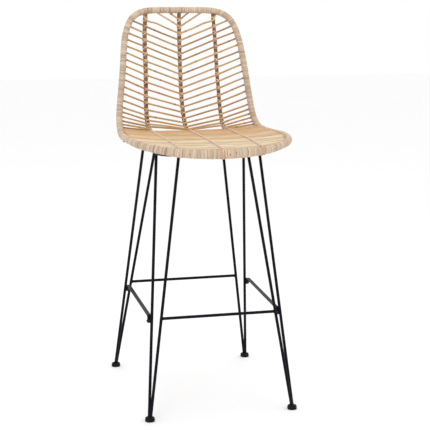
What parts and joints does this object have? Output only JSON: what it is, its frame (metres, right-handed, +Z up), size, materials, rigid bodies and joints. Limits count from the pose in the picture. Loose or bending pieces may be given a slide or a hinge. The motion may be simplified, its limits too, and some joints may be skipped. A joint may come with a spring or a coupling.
{
  "type": "bar stool",
  "caption": "Bar stool with a rattan bucket shell of herringbone canes on a black steel hairpin-leg base with a rod footrest all round.",
  "frame": {"origin": "on the floor, under the middle of the overall width and depth", "axes": "+Z up, the sitter faces -Y, +X to the left of the sitter"},
  "size_m": [0.475, 0.5644, 1.1301],
  "materials": {
    "rattan_peel_wrap": "pale rattan peel wound tightly, satin",
    "rattan_binding": "thin pale rattan peel, satin",
    "rattan_bark_pole": "brown rattan pole, satin",
    "rattan_cane": "golden rattan cane, satin",
    "rattan_split_slat": "split rattan, pale gold, satin",
    "dark_peg": "dark wooden peg",
    "black_steel": "satin black powder coat",
    "black_hardware": "black coated steel",
    "zinc_screws": "zinc plated",
    "black_rubber": "matt black moulded rubber"
  },
  "bodies": {
    "root": {"bar_bolts": "black_hardware", "bar_ears": "black_steel", "bar_nuts": "black_hardware", "footrest_bar_left": "black_steel", "footrest_bar_right": "black_steel", "footrest_rail_back": "black_steel", "footrest_rail_front": "black_steel", "glide_back_left": "black_rubber", "glide_back_right": "black_rubber", "glide_front_left": "black_rubber", "glide_front_right": "black_rubber", "leg_back_left": "black_steel", "leg_back_right": "black_steel", "leg_front_left": "black_steel", "leg_front_right": "black_steel", "rib_bindings": "rattan_binding", "rib_centre": "rattan_bark_pole", "rib_left": "rattan_bark_pole", "rib_right": "rattan_bark_pole", "rim_back_hoop": "rattan_peel_wrap", "rim_pegs": "dark_peg", "rim_seat_pole": "rattan_peel_wrap", "seat_cross_poles": "rattan_bark_pole", "seat_ring": "black_steel", "seat_screws": "zinc_screws", "seat_slat_01": "rattan_split_slat", "seat_slat_02": "rattan_split_slat", "seat_slat_03": "rattan_split_slat", "seat_slat_04": "rattan_split_slat", "seat_slat_05": "rattan_split_slat", "seat_slat_06": "rattan_split_slat", "seat_slat_07": "rattan_split_slat", "seat_slat_08": "rattan_split_slat", "seat_slat_09": "rattan_split_slat", "seat_slat_10": "rattan_split_slat", "seat_slat_11": "rattan_split_slat", "seat_slat_12": "rattan_split_slat", "seat_slat_13": "rattan_split_slat", "seat_stitching": "rattan_binding", "seat_tabs": "black_steel", "spindle_low_rows": "rattan_cane", "spindle_pair_01": "rattan_cane", "spindle_pair_02": "rattan_cane", "spindle_pair_03": "rattan_cane", "spindle_pair_04": "rattan_cane", "spindle_pair_05": "rattan_cane", "spindle_pair_06": "rattan_cane", "spindle_pair_07": "rattan_cane", "spindle_pair_08": "rattan_cane", "spindle_pair_09": "rattan_cane", "spindle_pair_10": "rattan_cane", "spindle_pair_11": "rattan_cane", "spindle_pair_12": "rattan_cane", "spindle_pair_13": "rattan_cane", "spindle_pair_14": "rattan_cane", "spindle_pair_15": "rattan_cane", "spindle_pair_16": "rattan_cane", "spindle_pair_17": "rattan_cane", "spindle_pair_18": "rattan_cane", "spindle_pair_19": "rattan_cane"}
  },
  "joints": []
}
